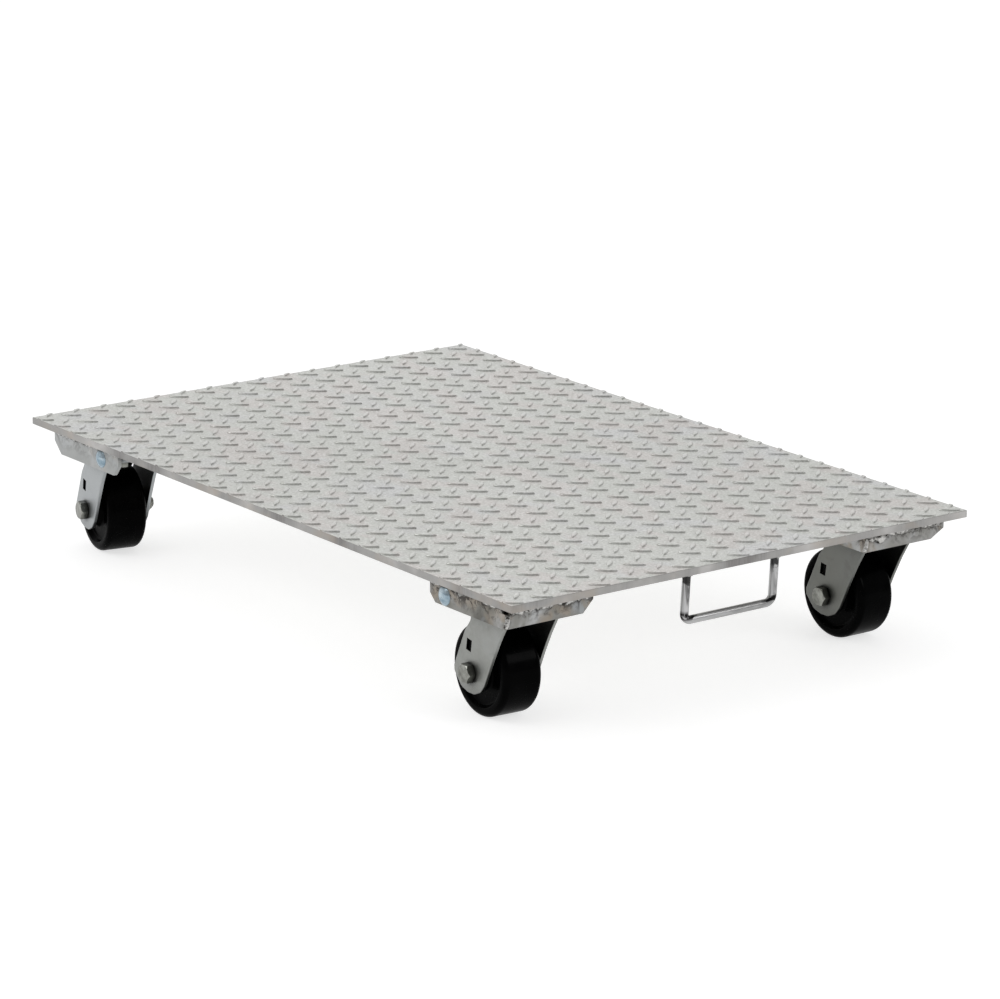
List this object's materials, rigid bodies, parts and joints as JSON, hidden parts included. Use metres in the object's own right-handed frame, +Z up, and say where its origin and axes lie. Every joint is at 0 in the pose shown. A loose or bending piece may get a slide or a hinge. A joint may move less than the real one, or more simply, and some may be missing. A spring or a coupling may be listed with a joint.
{
  "type": "furniture dolly",
  "caption": "Flat furniture dolly with a raised-pattern metal deck, swivel casters held in under-deck brackets and a hanging rod pull loop at one end.",
  "frame": {"origin": "on the floor under the middle of the deck", "axes": "+X along the deck's length towards the end with the pull loop, +Y across the deck, +Z up"},
  "size_m": [0.9144, 0.6096, 0.1525],
  "materials": {
    "deck_aluminium": "mill finish treadplate, dull",
    "bracket_aluminium": "mill finish flat bar with heat tints near the welds",
    "bright_zinc_rod": "bright drawn rod",
    "fork_zinc": "dull zinc plated pressed steel",
    "zinc_fastener": "zinc plated fastener",
    "blue_zinc_fastener": "bright blue-zinc plated carriage bolt",
    "bearing_steel": "ground steel",
    "black_phenolic": "glossy black moulded phenolic"
  },
  "bodies": {
    "root": {"deck_plate": "deck_aluminium", "pull_loop": "bright_zinc_rod", "cross_bolts": "blue_zinc_fastener", "cross_bolt_washers": "blue_zinc_fastener", "cross_bolt_nuts": "blue_zinc_fastener", "kingpins": "zinc_fastener", "kingpin_nuts": "zinc_fastener", "bracket_front_right": "bracket_aluminium", "top_plate_front_right": "fork_zinc", "lower_race_front_right": "fork_zinc", "bracket_front_left": "bracket_aluminium", "top_plate_front_left": "fork_zinc", "lower_race_front_left": "fork_zinc", "bracket_rear_right": "bracket_aluminium", "top_plate_rear_right": "fork_zinc", "lower_race_rear_right": "fork_zinc", "bracket_rear_left": "bracket_aluminium", "top_plate_rear_left": "fork_zinc", "lower_race_rear_left": "fork_zinc"},
    "swivel_front_right": {"fork_front_right": "fork_zinc", "upper_balls_front_right": "bearing_steel", "lower_balls_front_right": "bearing_steel", "axle_bolt_front_right": "zinc_fastener", "axle_nut_front_right": "zinc_fastener", "spanner_bushing_front_right": "bearing_steel", "thrust_washers_front_right": "bearing_steel"},
    "wheel_front_right": {"wheel_front_right": "black_phenolic", "roller_bearing_front_right": "bearing_steel"},
    "swivel_front_left": {"fork_front_left": "fork_zinc", "upper_balls_front_left": "bearing_steel", "lower_balls_front_left": "bearing_steel", "axle_bolt_front_left": "zinc_fastener", "axle_nut_front_left": "zinc_fastener", "spanner_bushing_front_left": "bearing_steel", "thrust_washers_front_left": "bearing_steel"},
    "wheel_front_left": {"wheel_front_left": "black_phenolic", "roller_bearing_front_left": "bearing_steel"},
    "swivel_rear_right": {"fork_rear_right": "fork_zinc", "upper_balls_rear_right": "bearing_steel", "lower_balls_rear_right": "bearing_steel", "axle_bolt_rear_right": "zinc_fastener", "axle_nut_rear_right": "zinc_fastener", "spanner_bushing_rear_right": "bearing_steel", "thrust_washers_rear_right": "bearing_steel"},
    "wheel_rear_right": {"wheel_rear_right": "black_phenolic", "roller_bearing_rear_right": "bearing_steel"},
    "swivel_rear_left": {"fork_rear_left": "fork_zinc", "upper_balls_rear_left": "bearing_steel", "lower_balls_rear_left": "bearing_steel", "axle_bolt_rear_left": "zinc_fastener", "axle_nut_rear_left": "zinc_fastener", "spanner_bushing_rear_left": "bearing_steel", "thrust_washers_rear_left": "bearing_steel"},
    "wheel_rear_left": {"wheel_rear_left": "black_phenolic", "roller_bearing_rear_left": "bearing_steel"}
  },
  "joints": [
    {"name": "swivel_front_right", "type": "hinge", "parent": "root", "child": "swivel_front_right", "pos_m": [0.3855, -0.2449, 0.1264], "axis": [0, 0, 1], "continuous": true},
    {"name": "spin_front_right", "type": "hinge", "parent": "swivel_front_right", "child": "wheel_front_right", "pos_m": [0.35255, -0.24317, 0.0492], "axis": [0.0523, 0.9986, 0], "continuous": true},
    {"name": "swivel_front_left", "type": "hinge", "parent": "root", "child": "swivel_front_left", "pos_m": [0.3855, 0.2303, 0.1264], "axis": [0, 0, 1], "continuous": true},
    {"name": "spin_front_left", "type": "hinge", "parent": "swivel_front_left", "child": "wheel_front_left", "pos_m": [0.3525, 0.2303, 0.0492], "axis": [0, 1, 0], "continuous": true},
    {"name": "swivel_rear_right", "type": "hinge", "parent": "root", "child": "swivel_rear_right", "pos_m": [-0.3602, -0.2449, 0.1264], "axis": [0, 0, 1], "continuous": true},
    {"name": "spin_rear_right", "type": "hinge", "parent": "swivel_rear_right", "child": "wheel_rear_right", "pos_m": [-0.39259, -0.2386, 0.0492], "axis": [0.1908, 0.9816, 0], "continuous": true},
    {"name": "swivel_rear_left", "type": "hinge", "parent": "root", "child": "swivel_rear_left", "pos_m": [-0.3602, 0.2303, 0.1264], "axis": [0, 0, 1], "continuous": true},
    {"name": "spin_rear_left", "type": "hinge", "parent": "swivel_rear_left", "child": "wheel_rear_left", "pos_m": [-0.39302, 0.22685, 0.0492], "axis": [-0.1045, 0.9945, 0], "continuous": true}
  ]
}
